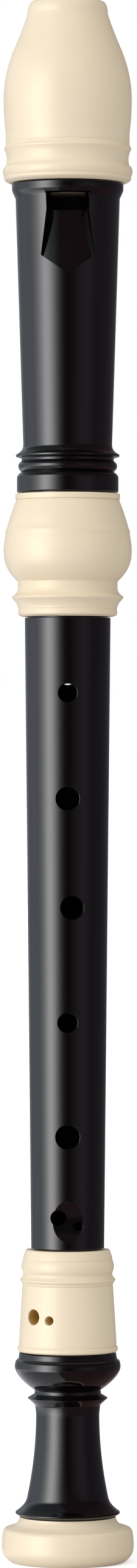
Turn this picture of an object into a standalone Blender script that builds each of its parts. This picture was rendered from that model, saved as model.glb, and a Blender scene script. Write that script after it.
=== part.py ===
"""Alto recorder in plastic, standing on its foot, in metres with +Z up.

Three joints push together: the foot, the middle and the head. Each is a black
turned tube with ivory mounts. The origin is the centre of the foot's end, the
bore runs up +Z, and the window and the front holes face -Y.
"""
import math

import bmesh
import bpy
from mathutils import Matrix

MM = 0.001

# Fineness of the round shapes
SIDES = 32
CURVE_STEPS = 4
HOLE_SIDES = 20
SCOOP_SIDES = 24
WINDWAY_STEPS = 8
BEAK_CUT_STEPS = 14
SHARP_ANGLE = 30.0          # degrees, above which an edge is shaded sharp
MERGE_DISTANCE = 0.01 * MM

# How the curves bend: 1 is straight, and a higher one bends more at its start
EVEN_CURVE = 2.0
FLANGE_CURVE = 3.0
THROAT_CURVE = 1.5
CUP_CURVE = 1.7
BULB_SWELL_CURVE = 2.5
BULB_TOP_CURVE = 1.6
BEAK_CURVE = 1.15

# How far the cutters run past what they cut
CUT_REACH = 1.2             # in radii of the wall
BEAK_CUT_OVERRUN = 8.0      # degrees

# Clearances
SEAM = 0.3 * MM             # between pieces that are fixed to each other
JOINT_FIT = 0.25 * MM       # radial, between a tenon and its socket
SEAL_FIT = 0.2 * MM         # round a seal in its groove

# Bore, from the foot's end to the beak
FOOT_END_BORE = 8.0 * MM
FOOT_WAIST_BORE = 6.2 * MM
FOOT_TOP_BORE = 6.9 * MM
MIDDLE_LOW_BORE = 7.1 * MM
MIDDLE_TOP_BORE = 9.3 * MM
HEAD_BORE = 9.7 * MM

# Tenons and the spigots that hold fixed pieces together
LOW_TENON_WALL = 2.1 * MM
LOW_TENON_LENGTH = 15.1 * MM
TOP_TENON_WALL = 1.9 * MM
TOP_TENON_LENGTH = 24.1 * MM
TENON_END_GAP = 0.4 * MM
RING_SPIGOT_WALL = 3.5 * MM
RING_SPIGOT_LENGTH = 7.2 * MM
SOCKET_SPIGOT_WALL = 4.1 * MM
SOCKET_SPIGOT_LENGTH = 5.6 * MM
BULB_SPIGOT_WALL = 3.3 * MM
CAP_SPIGOT_WALL = 3.8 * MM
CAP_SPIGOT_LENGTH = 9.6 * MM

# Seals in the tenons
SEAL_WIDTH = 2.4 * MM
SEAL_DEPTH = 0.9 * MM
SEAL_PROUD = 0.1 * MM       # how far a seal stands out of its tenon
LOW_SEAL_DROP = 6.0 * MM    # from the shoulder to the seal's middle
TOP_SEAL_RISE = 8.0 * MM

# Foot ring
RING_FOOT_RADIUS = 17.0 * MM
RING_RADIUS = 20.0 * MM
RING_SWELL_RISE = 5.5 * MM
RING_EDGE_RADIUS = 19.2 * MM
RING_EDGE_RISE = 4.5 * MM
RING_LEDGE_RADIUS = 15.9 * MM
RING_LEDGE_RISE = 1.2 * MM
RING_NECK_RADIUS = 14.5 * MM
RING_NECK_RISE = 2.4 * MM

# Foot bell
BELL_RIM_RADIUS = 15.75 * MM
BELL_RIM_RISE = 0.7 * MM
BELL_THROAT_RADIUS = 12.4 * MM
BELL_THROAT_RISE = 4.0 * MM
BELL_WAIST_RADIUS = 9.54 * MM
BELL_WAIST_RISE = 26.0 * MM
BELL_BEAD_ROOT_RADIUS = 9.85 * MM
BELL_BEAD_ROOT_RISE = 2.7 * MM
BELL_BEAD_RADIUS = 12.1 * MM
BELL_BEAD_RISE = 2.0 * MM
BELL_CUP_RADIUS = 15.9 * MM
BELL_CUP_RISE = 7.6 * MM
BELL_LIP_RADIUS = 14.4 * MM
BELL_LIP_RISE = 4.1 * MM

# Foot socket
SOCKET_LIP_RADIUS = 15.1 * MM
SOCKET_LIP_EDGE = 0.5 * MM
SOCKET_LIP_RISE = 1.0 * MM
SOCKET_BASE_RADIUS = 14.75 * MM
SOCKET_TAPER_RADIUS = 13.65 * MM
SOCKET_TAPER_RISE = 18.3 * MM
SOCKET_BEAD_RADIUS = 14.4 * MM
SOCKET_BEAD_RISE = 1.2 * MM
SOCKET_GROOVE_RADIUS = 13.45 * MM
SOCKET_GROOVE_RISE = 1.6 * MM
SOCKET_CROWN_RADIUS = 14.2 * MM
SOCKET_CROWN_RISE = 2.8 * MM
SOCKET_TOP_RADIUS = 12.6 * MM
SOCKET_TOP_RISE = 4.9 * MM

# Middle joint
MIDDLE_LOW_RADIUS = 11.0 * MM
MIDDLE_TOP_RADIUS = 12.92 * MM
HOLE_6_RISE = 8.5 * MM      # from the lower shoulder, then from hole to hole
HOLE_5_RISE = 25.5 * MM
HOLE_4_RISE = 34.3 * MM
HOLE_3_RISE = 34.5 * MM
HOLE_2_RISE = 32.7 * MM
HOLE_1_RISE = 31.7 * MM
THUMB_HOLE_RISE = 5.95 * MM
SHOULDER_RISE = 22.8 * MM   # from hole 1 to the upper shoulder

# Tone holes
HOLE_1_DIAMETER = 5.4 * MM
HOLE_2_DIAMETER = 6.8 * MM
HOLE_3_DIAMETER = 6.8 * MM
HOLE_4_DIAMETER = 5.7 * MM
HOLE_5_DIAMETER = 7.0 * MM
THUMB_HOLE_DIAMETER = 6.5 * MM
DOUBLE_LARGE_DIAMETER = 4.6 * MM
DOUBLE_SMALL_DIAMETER = 2.6 * MM
DOUBLE_LARGE_OFFSET = 2.7 * MM      # to each side of the middle of a pair
DOUBLE_SMALL_OFFSET = 3.1 * MM
HOLE_6_STAGGER = 2.4 * MM   # the small one of a pair sits this much lower
FOOT_STAGGER = 0.8 * MM
HOLE_3_TURN = 6.7           # degrees round the bore, to the right of the front
FOOT_TURN = -36.0
SCOOP_WIDTH = 9.4 * MM      # hollow that holds the double hole 6
SCOOP_HEIGHT = 12.4 * MM
SCOOP_DEPTH = 1.5 * MM
SCOOP_ROUNDING = 3.0 * MM   # half the depth of the ellipsoid that hollows it

# Head socket, the ivory bulb
BULB_FOOT_RADIUS = 13.6 * MM
BULB_LIP_RADIUS = 14.9 * MM
BULB_LIP_RISE = 1.5 * MM
BULB_FLARE_RADIUS = 17.1 * MM
BULB_FLARE_RISE = 4.4 * MM
BULB_NECK_RADIUS = 14.95 * MM
BULB_NECK_RISE = 4.4 * MM
BULB_RADIUS = 19.3 * MM
BULB_SWELL_RISE = 9.6 * MM
BULB_TOP_RADIUS = 15.7 * MM
BULB_TOP_RISE = 15.4 * MM
BULB_COLLAR_RISE = 1.7 * MM

# Head body
HEAD_COLLAR_RADIUS = 15.3 * MM
HEAD_COLLAR_EDGE = 0.4 * MM
HEAD_COLLAR_RISE = 4.1 * MM
HEAD_GROOVE_RADIUS = 13.75 * MM
HEAD_GROOVE_RISE = 1.8 * MM
HEAD_BEAD_RADIUS = 14.75 * MM
HEAD_BEAD_RISE = 1.8 * MM
HEAD_EDGE_RADIUS = 15.6 * MM
HEAD_EDGE_RISE = 1.4 * MM
HEAD_NECK_RADIUS = 13.4 * MM
HEAD_NECK_RISE = 4.0 * MM
HEAD_TOP_RADIUS = 15.7 * MM
HEAD_TAPER_RISE = 73.3 * MM
HEAD_RIM_RADIUS = 16.8 * MM
HEAD_RIM_CHAMFER = 2.4 * MM
HEAD_RIM_RISE = 2.0 * MM

# Window, ramp and windway
WINDOW_TOP_RISE = 1.5 * MM   # above the foot of the rim
MOUTH_HEIGHT = 5.5 * MM
LABIUM_THICKNESS = 0.5 * MM
RAMP_SLOPE = 11.5           # degrees
RAMP_EDGE_WIDTH = 10.6 * MM
RAMP_CORNER_WIDTH = 16.4 * MM
RAMP_CORNER_DROP = 13.9 * MM
RAMP_POINT_DROP = 5.6 * MM
RAMP_WALL_DRAFT = 14.0      # degrees
WINDWAY_HEIGHT = 1.3 * MM
WINDWAY_SLOPE = 1.75        # degrees, down towards the tip

# Beak cap
CAP_FOOT_RADIUS = 17.4 * MM
CAP_FLANGE_RADIUS = 19.6 * MM
CAP_FLANGE_RISE = 3.9 * MM
CAP_GROOVE_RADIUS = 18.3 * MM
CAP_GROOVE_RISE = 3.7 * MM
CAP_BEAD_RADIUS = 19.15 * MM
CAP_BEAD_RISE = 3.7 * MM
CAP_BAND_RADIUS = 18.6 * MM
CAP_BAND_EDGE = 1.6 * MM
CAP_BAND_RISE = 2.8 * MM
CAP_SWELL_RADIUS = 19.3 * MM
CAP_SWELL_RISE = 10.3 * MM
BEAK_SHOULDER_RADIUS = 16.3 * MM
BEAK_SHOULDER_RISE = 14.7 * MM
BEAK_TIP_RADIUS = 12.1 * MM
BEAK_TIP_RISE = 11.2 * MM
TIP_ROUND_WIDTH = 1.6 * MM
TIP_ROUND_RISE = 2.8 * MM
BEAK_THICKNESS = 11.6 * MM  # at the tip, front to back
BEAK_CUT_DROP = 32.0 * MM   # from the tip to where the cut leaves the cap
BEAK_CUT_LEAN = 10.0        # degrees from upright, at the tip

# Finish of each plastic: colour, roughness
BLACK_FINISH = ((0.012, 0.010, 0.010), 0.16)
IVORY_FINISH = ((0.80, 0.71, 0.55), 0.32)
SEAL_FINISH = ((0.10, 0.09, 0.08), 0.70)


class Outline:
    """One side of a turned profile, as (radius, height) points that run upward."""

    def __init__(self, radius, height=0.0):
        self.points = [(radius, height)]

    @property
    def height(self):
        return self.points[-1][1]

    def line(self, radius, rise=0.0):
        """Straight on to a radius, by default level."""
        self.points.append((radius, self.height + rise))
        return self

    def settle(self, radius, rise, power=EVEN_CURVE):
        """Curve that turns at once and ends upright."""
        start_radius, start_height = self.points[-1]
        for step in range(1, CURVE_STEPS + 1):
            share = step / CURVE_STEPS
            reach = radius + (start_radius - radius) * (1.0 - share) ** power
            self.points.append((reach, start_height + rise * share))
        return self

    def spread(self, radius, rise, power=EVEN_CURVE):
        """Curve that starts upright and turns at the end."""
        start_radius, start_height = self.points[-1]
        for step in range(1, CURVE_STEPS + 1):
            share = step / CURVE_STEPS
            reach = start_radius + (radius - start_radius) * share ** power
            self.points.append((reach, start_height + rise * share))
        return self


def foot_ring_outline():
    outline = Outline(RING_FOOT_RADIUS)
    outline.settle(RING_RADIUS, RING_SWELL_RISE, FLANGE_CURVE)
    outline.spread(RING_EDGE_RADIUS, RING_EDGE_RISE)
    outline.line(RING_LEDGE_RADIUS, RING_LEDGE_RISE)
    return outline.settle(RING_NECK_RADIUS, RING_NECK_RISE)


def foot_bell_outline():
    outline = Outline(RING_NECK_RADIUS)
    outline.line(BELL_RIM_RADIUS, BELL_RIM_RISE)
    outline.settle(BELL_THROAT_RADIUS, BELL_THROAT_RISE, THROAT_CURVE)
    outline.settle(BELL_WAIST_RADIUS, BELL_WAIST_RISE)
    outline.line(BELL_BEAD_ROOT_RADIUS, BELL_BEAD_ROOT_RISE)
    outline.line(BELL_BEAD_RADIUS, BELL_BEAD_RISE)
    outline.line(BELL_BEAD_ROOT_RADIUS, BELL_BEAD_RISE)
    outline.settle(BELL_CUP_RADIUS, BELL_CUP_RISE, CUP_CURVE)
    return outline.spread(BELL_LIP_RADIUS, BELL_LIP_RISE)


def foot_socket_outline():
    outline = Outline(BELL_LIP_RADIUS)
    outline.line(SOCKET_LIP_RADIUS, SOCKET_LIP_EDGE)
    outline.line(SOCKET_LIP_RADIUS, SOCKET_LIP_RISE)
    outline.line(SOCKET_BASE_RADIUS, SOCKET_LIP_EDGE)
    outline.line(SOCKET_TAPER_RADIUS, SOCKET_TAPER_RISE)
    outline.line(SOCKET_BEAD_RADIUS, SOCKET_BEAD_RISE)
    outline.line(SOCKET_GROOVE_RADIUS, SOCKET_GROOVE_RISE)
    outline.settle(SOCKET_CROWN_RADIUS, SOCKET_CROWN_RISE)
    return outline.spread(SOCKET_TOP_RADIUS, SOCKET_TOP_RISE)


def head_socket_outline():
    outline = Outline(BULB_FOOT_RADIUS)
    outline.line(BULB_LIP_RADIUS, BULB_LIP_RISE)
    outline.spread(BULB_FLARE_RADIUS, BULB_FLARE_RISE)
    outline.settle(BULB_NECK_RADIUS, BULB_NECK_RISE)
    outline.settle(BULB_RADIUS, BULB_SWELL_RISE, BULB_SWELL_CURVE)
    outline.spread(BULB_TOP_RADIUS, BULB_TOP_RISE, BULB_TOP_CURVE)
    return outline.line(BULB_TOP_RADIUS, BULB_COLLAR_RISE)


def head_body_outline():
    outline = Outline(HEAD_COLLAR_RADIUS - HEAD_COLLAR_EDGE)
    outline.line(HEAD_COLLAR_RADIUS, HEAD_COLLAR_EDGE)
    outline.line(HEAD_COLLAR_RADIUS, HEAD_COLLAR_RISE)
    outline.spread(HEAD_GROOVE_RADIUS, HEAD_GROOVE_RISE)
    outline.settle(HEAD_BEAD_RADIUS, HEAD_BEAD_RISE)
    outline.spread(HEAD_GROOVE_RADIUS, HEAD_BEAD_RISE)
    outline.line(HEAD_EDGE_RADIUS, HEAD_EDGE_RISE)
    outline.settle(HEAD_NECK_RADIUS, HEAD_NECK_RISE)
    return outline.line(HEAD_TOP_RADIUS, HEAD_TAPER_RISE)


def beak_cap_outline():
    outline = Outline(CAP_FOOT_RADIUS)
    outline.settle(CAP_FLANGE_RADIUS, CAP_FLANGE_RISE, FLANGE_CURVE)
    outline.spread(CAP_GROOVE_RADIUS, CAP_GROOVE_RISE)
    outline.spread(CAP_BEAD_RADIUS, CAP_BEAD_RISE)
    outline.settle(CAP_BAND_RADIUS, CAP_BAND_EDGE)
    outline.line(CAP_BAND_RADIUS, CAP_BAND_RISE)
    outline.settle(CAP_SWELL_RADIUS, CAP_SWELL_RISE)
    outline.spread(BEAK_SHOULDER_RADIUS, BEAK_SHOULDER_RISE)
    outline.settle(BEAK_TIP_RADIUS, BEAK_TIP_RISE, BEAK_CURVE)
    return outline.spread(BEAK_TIP_RADIUS - TIP_ROUND_WIDTH, TIP_ROUND_RISE)


ring_outline = foot_ring_outline()
bell_outline = foot_bell_outline()
socket_outline = foot_socket_outline()
bulb_outline = head_socket_outline()
head_outline = head_body_outline()
cap_outline = beak_cap_outline()

# Radii that follow from the bore
low_tenon_radius = MIDDLE_LOW_BORE + LOW_TENON_WALL
top_tenon_radius = MIDDLE_TOP_BORE + TOP_TENON_WALL
ring_spigot_radius = FOOT_END_BORE + RING_SPIGOT_WALL
socket_spigot_radius = FOOT_TOP_BORE + SOCKET_SPIGOT_WALL
bulb_spigot_radius = HEAD_BORE + BULB_SPIGOT_WALL
cap_spigot_radius = HEAD_BORE + CAP_SPIGOT_WALL

to_front = Matrix.Rotation(math.radians(90.0), 4, "X")

# Heights that the pieces stand at, each on the one below
bell_base = ring_outline.height + SEAM
socket_base = bell_base + bell_outline.height + SEAM
middle_base = socket_base + socket_outline.height + SEAM
hole_6_height = middle_base + HOLE_6_RISE
hole_5_height = hole_6_height + HOLE_5_RISE
hole_4_height = hole_5_height + HOLE_4_RISE
hole_3_height = hole_4_height + HOLE_3_RISE
hole_2_height = hole_3_height + HOLE_2_RISE
hole_1_height = hole_2_height + HOLE_1_RISE
thumb_hole_height = hole_1_height + THUMB_HOLE_RISE
middle_top = hole_1_height + SHOULDER_RISE
bulb_base = middle_top + SEAM
head_base = bulb_base + bulb_outline.height + SEAM
rim_base = head_base + head_outline.height
window_top = rim_base + WINDOW_TOP_RISE
head_top = rim_base + HEAD_RIM_CHAMFER + HEAD_RIM_RISE
cap_base = head_top + SEAM
tip_height = cap_base + cap_outline.height

# Heights inside the joints
low_tenon_end = middle_base - LOW_TENON_LENGTH
low_socket_end = low_tenon_end - TENON_END_GAP
top_tenon_end = middle_top + TOP_TENON_LENGTH
bulb_seat = top_tenon_end + TENON_END_GAP
socket_seat = bell_base + bell_outline.height + SOCKET_SPIGOT_LENGTH
cap_seat = head_top + CAP_SPIGOT_LENGTH
labium_height = window_top - MOUTH_HEIGHT
labium_radius = HEAD_BORE + LABIUM_THICKNESS


def block_bore(height):
    """Radius of the tapered bore that holds the block, which leans with the windway."""
    return HEAD_BORE - (height - window_top) * math.tan(math.radians(WINDWAY_SLOPE))


def clear_scene():
    for scene_object in list(bpy.data.objects):
        bpy.data.objects.remove(scene_object, do_unlink=True)


def add_collection(name, hidden=False):
    collection = bpy.data.collections.new(name)
    bpy.context.scene.collection.children.link(collection)
    collection.hide_render = hidden
    return collection


def add_material(name, finish):
    colour, roughness = finish
    material = bpy.data.materials.new(name)
    material.use_nodes = True
    shader = material.node_tree.nodes["Principled BSDF"]
    shader.inputs["Base Color"].default_value = (*colour, 1.0)
    shader.inputs["Roughness"].default_value = roughness
    shader.inputs["Metallic"].default_value = 0.0
    material.diffuse_color = (*colour, 1.0)
    return material


def add_empty(name, height, collection):
    empty = bpy.data.objects.new(name, None)
    empty.location.z = height
    collection.objects.link(empty)
    return empty


def evaluated_mesh(scene_object):
    graph = bpy.context.evaluated_depsgraph_get()
    return bpy.data.meshes.new_from_object(scene_object.evaluated_get(graph))


def mesh_of(shape, name):
    mesh = bpy.data.meshes.new(name)
    shape.to_mesh(mesh)
    shape.free()
    return mesh


def turned(name, outer, inner, base, parent, material):
    """Ring-shaped piece: down the outer outline and back up the inner one."""
    profile = outer[::-1] + inner
    mesh = bpy.data.meshes.new(name)
    edges = [(index, (index + 1) % len(profile)) for index in range(len(profile))]
    mesh.from_pydata([(radius, 0.0, height) for radius, height in profile], edges, [])
    piece = bpy.data.objects.new(name, mesh)
    pieces.objects.link(piece)
    screw = piece.modifiers.new("Turn", "SCREW")
    screw.axis = "Z"
    screw.angle = math.tau
    screw.steps = SIDES
    screw.render_steps = SIDES
    screw.use_merge_vertices = True
    screw.merge_threshold = MERGE_DISTANCE
    piece.data = evaluated_mesh(piece)
    piece.modifiers.clear()
    finish_piece(piece, base, parent, material)
    return piece


def finish_piece(piece, base, parent, material):
    """Smooth the round faces, give the plastic and stand the piece at its height."""
    piece.data.shade_smooth()
    piece.data.set_sharp_from_angle(angle=math.radians(SHARP_ANGLE))
    piece.data.materials.clear()
    piece.data.materials.append(material)
    piece.parent = parent
    piece.location.z = base - parent.location.z


def add_cutter(name, mesh):
    cutter = bpy.data.objects.new(name, mesh)
    cutter.hide_render = True
    cutter.display_type = "WIRE"
    cutters.objects.link(cutter)
    return cutter


def cut(piece, cutter):
    boolean = piece.modifiers.new(cutter.name, "BOOLEAN")
    boolean.operation = "DIFFERENCE"
    boolean.solver = "EXACT"
    boolean.object = cutter


def drill(name, diameter, height, turn, reach, offset=0.0):
    """Cutter for a hole that runs out through one wall, beside the axis if offset."""
    shape = bmesh.new()
    bmesh.ops.create_cone(
        shape, cap_ends=True, segments=HOLE_SIDES,
        radius1=diameter / 2, radius2=diameter / 2, depth=reach)
    out_of_axis = Matrix.Translation((offset, 0.0, reach / 2))
    bmesh.ops.transform(shape, matrix=to_front @ out_of_axis, verts=shape.verts)
    cutter = add_cutter(name, mesh_of(shape, name))
    cutter.location.z = height
    cutter.rotation_euler.z = math.radians(turn)
    return cutter


def drill_pair(piece, name, height, turn, stagger, reach):
    """Large hole on the left and small hole on the right, drilled side by side."""
    large_height = height + stagger / 2
    small_height = height - stagger / 2
    cut(piece, drill(
        name + "_large", DOUBLE_LARGE_DIAMETER, large_height, turn, reach, -DOUBLE_LARGE_OFFSET))
    cut(piece, drill(
        name + "_small", DOUBLE_SMALL_DIAMETER, small_height, turn, reach, DOUBLE_SMALL_OFFSET))


def closed_mesh(mesh):
    """The same mesh with its caps joined on and its faces pointing out."""
    shape = bmesh.new()
    shape.from_mesh(mesh)
    bmesh.ops.remove_doubles(shape, verts=shape.verts, dist=MERGE_DISTANCE)
    bmesh.ops.recalc_face_normals(shape, faces=shape.faces)
    return mesh_of(shape, mesh.name)


def flat_mesh(name, outline, thickness):
    """Closed mesh of a flat outline in its own XY plane, centred on that plane."""
    curve = bpy.data.curves.new(name, "CURVE")
    curve.dimensions = "2D"
    curve.fill_mode = "BOTH"
    curve.extrude = thickness / 2
    spline = curve.splines.new("POLY")
    spline.points.add(len(outline) - 1)
    for point, (across, along) in zip(spline.points, outline):
        point.co = (across, along, 0.0, 1.0)
    spline.use_cyclic_u = True
    outline_object = bpy.data.objects.new(name, curve)
    cutters.objects.link(outline_object)
    mesh = evaluated_mesh(outline_object)
    bpy.data.objects.remove(outline_object)
    return closed_mesh(mesh)


def scoop_cutter():
    """Ellipsoid that leaves the shallow hollow of hole 6 in the round wall."""
    low_share = HOLE_6_RISE / (middle_top - middle_base)
    wall_radius = MIDDLE_LOW_RADIUS + (MIDDLE_TOP_RADIUS - MIDDLE_LOW_RADIUS) * low_share
    centre = wall_radius - SCOOP_DEPTH + SCOOP_ROUNDING
    side_wall = math.sqrt(wall_radius ** 2 - (SCOOP_WIDTH / 2) ** 2)
    side_share = (centre - side_wall) / SCOOP_ROUNDING
    end_share = (centre - wall_radius) / SCOOP_ROUNDING
    half_width = SCOOP_WIDTH / 2 / math.sqrt(1 - side_share ** 2)
    half_height = SCOOP_HEIGHT / 2 / math.sqrt(1 - end_share ** 2)
    shape = bmesh.new()
    bmesh.ops.create_uvsphere(
        shape, u_segments=SCOOP_SIDES, v_segments=SCOOP_SIDES // 2, radius=1.0)
    bmesh.ops.scale(shape, vec=(half_width, half_height, SCOOP_ROUNDING), verts=shape.verts)
    bmesh.ops.transform(shape, matrix=to_front, verts=shape.verts)
    cutter = add_cutter("scoop", mesh_of(shape, "scoop"))
    cutter.location = (0.0, -centre, hole_6_height)
    return cutter


def ramp_cutter():
    """Shield-shaped prism whose back face is the ramp, with drafted side walls."""
    corner_height = labium_height - RAMP_CORNER_DROP
    point_height = corner_height - RAMP_POINT_DROP
    edge = RAMP_EDGE_WIDTH / 2
    corner = RAMP_CORNER_WIDTH / 2
    outline = [
        (-edge, window_top), (-edge, labium_height), (-corner, corner_height), (0.0, point_height),
        (corner, corner_height), (edge, labium_height), (edge, window_top)]
    front = CUT_REACH * HEAD_TOP_RADIUS
    mesh = flat_mesh("ramp", outline, front)
    slope = math.tan(math.radians(RAMP_SLOPE))
    draft = math.tan(math.radians(RAMP_WALL_DRAFT))
    for vertex in mesh.vertices:
        across, height, side = vertex.co
        ramp = labium_radius + (labium_height - height) * slope
        if side < 0:
            vertex.co = (across, -ramp, height)
            continue
        shift = (front - ramp) * draft
        if abs(across) > edge / 2:
            across += math.copysign(shift, across)
        else:
            height -= shift
        vertex.co = (across, -front, height)
    return add_cutter("ramp", closed_mesh(mesh))


def mouth_cutter():
    """Box that opens the window into the bore between the block and the edge."""
    shape = bmesh.new()
    bmesh.ops.create_cube(shape, size=1.0)
    bmesh.ops.scale(shape, vec=(RAMP_EDGE_WIDTH, HEAD_TOP_RADIUS, MOUTH_HEIGHT), verts=shape.verts)
    cutter = add_cutter("mouth", mesh_of(shape, "mouth"))
    cutter.location = (0.0, -HEAD_TOP_RADIUS, window_top - MOUTH_HEIGHT / 2)
    return cutter


def windway_cutter():
    """Arched slit that leans in towards the tip, from the window up."""
    middle = (HEAD_BORE + labium_radius) / 2
    floor = middle - WINDWAY_HEIGHT / 2
    roof = middle + WINDWAY_HEIGHT / 2
    half_angle = math.asin(RAMP_EDGE_WIDTH / 2 / middle)
    angles = [
        half_angle * (2 * step / WINDWAY_STEPS - 1) for step in range(WINDWAY_STEPS + 1)]
    outline = [(floor * math.sin(angle), -floor * math.cos(angle)) for angle in angles]
    outline += [(roof * math.sin(angle), -roof * math.cos(angle)) for angle in reversed(angles)]
    start = window_top - MOUTH_HEIGHT / 2
    length = tip_height - start + BEAK_TIP_RADIUS
    mesh = flat_mesh("windway", outline, length)
    lean = Matrix.Rotation(-math.radians(WINDWAY_SLOPE), 4, "X")
    pivot = Matrix.Translation((0.0, -middle, 0.0))
    mesh.transform(pivot @ lean @ pivot.inverted() @ Matrix.Translation((0.0, 0.0, length / 2)))
    cutter = add_cutter("windway", mesh)
    cutter.location.z = start
    return cutter


def beak_cutter():
    """Prism with one round side, which hollows the back of the beak."""
    lean = math.radians(BEAK_CUT_LEAN)
    tip_depth = BEAK_THICKNESS - BEAK_TIP_RADIUS
    reach = CAP_SWELL_RADIUS - tip_depth
    drop = BEAK_CUT_DROP
    radius = (reach ** 2 + drop ** 2) / 2 / (reach * math.cos(lean) - drop * math.sin(lean))
    centre_depth = tip_depth + radius * math.cos(lean)
    centre_height = tip_height + radius * math.sin(lean)
    overrun = math.radians(BEAK_CUT_OVERRUN)
    start = math.pi + lean - overrun
    foot = math.atan2(tip_height - drop - centre_height, CAP_SWELL_RADIUS - centre_depth)
    end = foot % math.tau + overrun
    angles = [
        start + (end - start) * step / BEAK_CUT_STEPS for step in range(BEAK_CUT_STEPS + 1)]
    outline = [
        (centre_depth + radius * math.cos(angle), centre_height + radius * math.sin(angle))
        for angle in angles]
    outline.append((centre_depth, outline[-1][1]))
    outline.append((centre_depth, outline[0][1]))
    mesh = flat_mesh("beak_cut", outline, 2 * CUT_REACH * CAP_SWELL_RADIUS)
    stand_up = Matrix(((0, 0, 1, 0), (1, 0, 0, 0), (0, 1, 0, 0), (0, 0, 0, 1)))
    mesh.transform(stand_up)
    return add_cutter("beak_cut", mesh)


def make_foot_ring(parent):
    seat_depth = RING_SPIGOT_LENGTH
    inner = Outline(FOOT_END_BORE)
    inner.line(FOOT_END_BORE, ring_outline.height - seat_depth)
    inner.line(ring_spigot_radius + SEAM)
    inner.line(ring_spigot_radius + SEAM, seat_depth)
    turned("foot_ring", ring_outline.points, inner.points, 0.0, parent, ivory)


def make_foot_bell(parent):
    spigot = RING_SPIGOT_LENGTH
    bead_height = bell_outline.height - BELL_LIP_RISE - BELL_CUP_RISE - BELL_BEAD_RISE
    outer = [(ring_spigot_radius, -spigot), (ring_spigot_radius, 0.0)]
    outer += bell_outline.points
    outer += [
        (socket_spigot_radius, bell_outline.height),
        (socket_spigot_radius, bell_outline.height + SOCKET_SPIGOT_LENGTH)]
    inner = Outline(FOOT_END_BORE, -spigot)
    inner.line(FOOT_WAIST_BORE, bead_height + spigot)
    inner.line(FOOT_TOP_BORE, bell_outline.height + SOCKET_SPIGOT_LENGTH - bead_height)
    turned("foot_bell", outer, inner.points, bell_base, parent, black)


def make_foot_socket(parent):
    seat_depth = socket_seat + SEAM - socket_base
    ledge = low_socket_end - socket_base
    socket_radius = low_tenon_radius + JOINT_FIT
    inner = Outline(socket_spigot_radius + SEAM)
    inner.line(socket_spigot_radius + SEAM, seat_depth)
    inner.line(FOOT_TOP_BORE)
    inner.line(FOOT_TOP_BORE, ledge - seat_depth)
    inner.line(socket_radius)
    inner.line(socket_radius, socket_outline.height - ledge)
    socket = turned("foot_socket", socket_outline.points, inner.points, socket_base, parent, ivory)
    pair_height = (socket_seat + low_tenon_end) / 2
    drill_pair(socket, "foot_hole", pair_height, FOOT_TURN, FOOT_STAGGER, CUT_REACH * SOCKET_LIP_RADIUS)


def tenon_groove(radius, middle):
    """Points up the outside of a tenon, past the groove of its seal."""
    half_width = SEAL_WIDTH / 2 + SEAL_FIT
    floor = radius - SEAL_DEPTH
    return [
        (radius, middle - half_width), (floor, middle - half_width),
        (floor, middle + half_width), (radius, middle + half_width)]


def make_middle_body(parent):
    length = middle_top - middle_base
    outer = [(low_tenon_radius, -LOW_TENON_LENGTH)]
    outer += tenon_groove(low_tenon_radius, -LOW_SEAL_DROP)
    outer += [(low_tenon_radius, 0.0), (MIDDLE_LOW_RADIUS, 0.0), (MIDDLE_TOP_RADIUS, length)]
    outer += [(top_tenon_radius, length)]
    outer += tenon_groove(top_tenon_radius, length + TOP_SEAL_RISE)
    outer += [(top_tenon_radius, length + TOP_TENON_LENGTH)]
    inner = [
        (MIDDLE_LOW_BORE, -LOW_TENON_LENGTH),
        (MIDDLE_TOP_BORE, length + TOP_TENON_LENGTH)]
    body = turned("middle_body", outer, inner, middle_base, parent, black)
    cut(body, scoop_cutter())
    reach = CUT_REACH * MIDDLE_TOP_RADIUS
    cut(body, drill("hole_1", HOLE_1_DIAMETER, hole_1_height, 0.0, reach))
    cut(body, drill("hole_2", HOLE_2_DIAMETER, hole_2_height, 0.0, reach))
    cut(body, drill("hole_3", HOLE_3_DIAMETER, hole_3_height, HOLE_3_TURN, reach))
    cut(body, drill("hole_4", HOLE_4_DIAMETER, hole_4_height, 0.0, reach))
    cut(body, drill("hole_5", HOLE_5_DIAMETER, hole_5_height, 0.0, reach))
    drill_pair(body, "hole_6", hole_6_height, 0.0, HOLE_6_STAGGER, reach)
    cut(body, drill("thumb_hole", THUMB_HOLE_DIAMETER, thumb_hole_height, 180.0, reach))


def make_seal(name, tenon_radius, height, parent):
    outer_radius = tenon_radius + SEAL_PROUD
    inner_radius = tenon_radius - SEAL_DEPTH + SEAL_FIT
    outer = [(outer_radius, -SEAL_WIDTH / 2), (outer_radius, SEAL_WIDTH / 2)]
    inner = [(inner_radius, -SEAL_WIDTH / 2), (inner_radius, SEAL_WIDTH / 2)]
    turned(name, outer, inner, height, parent, seal_rubber)


def make_head_socket(parent):
    socket_radius = top_tenon_radius + JOINT_FIT
    seat_radius = bulb_spigot_radius + SEAM
    seat_height = bulb_seat - bulb_base
    inner = Outline(socket_radius)
    inner.line(socket_radius, seat_height)
    inner.line(seat_radius)
    inner.line(seat_radius, bulb_outline.height - seat_height)
    turned("head_socket", bulb_outline.points, inner.points, bulb_base, parent, ivory)


def make_head_body(parent):
    spigot_end = bulb_seat + SEAM - head_base
    rim = head_outline.height + HEAD_RIM_CHAMFER
    top = head_top - head_base
    outer = [(bulb_spigot_radius, spigot_end), (bulb_spigot_radius, 0.0)]
    outer += head_outline.points
    outer += [(HEAD_RIM_RADIUS, rim), (HEAD_RIM_RADIUS, top), (cap_spigot_radius, top)]
    outer += [(cap_spigot_radius, top + CAP_SPIGOT_LENGTH)]
    inner = [
        (HEAD_BORE, spigot_end), (HEAD_BORE, window_top - head_base),
        (block_bore(cap_seat), top + CAP_SPIGOT_LENGTH)]
    body = turned("head_body", outer, inner, head_base, parent, black)
    cut(body, ramp_cutter())
    cut(body, mouth_cutter())
    cut(body, windway)


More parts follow.
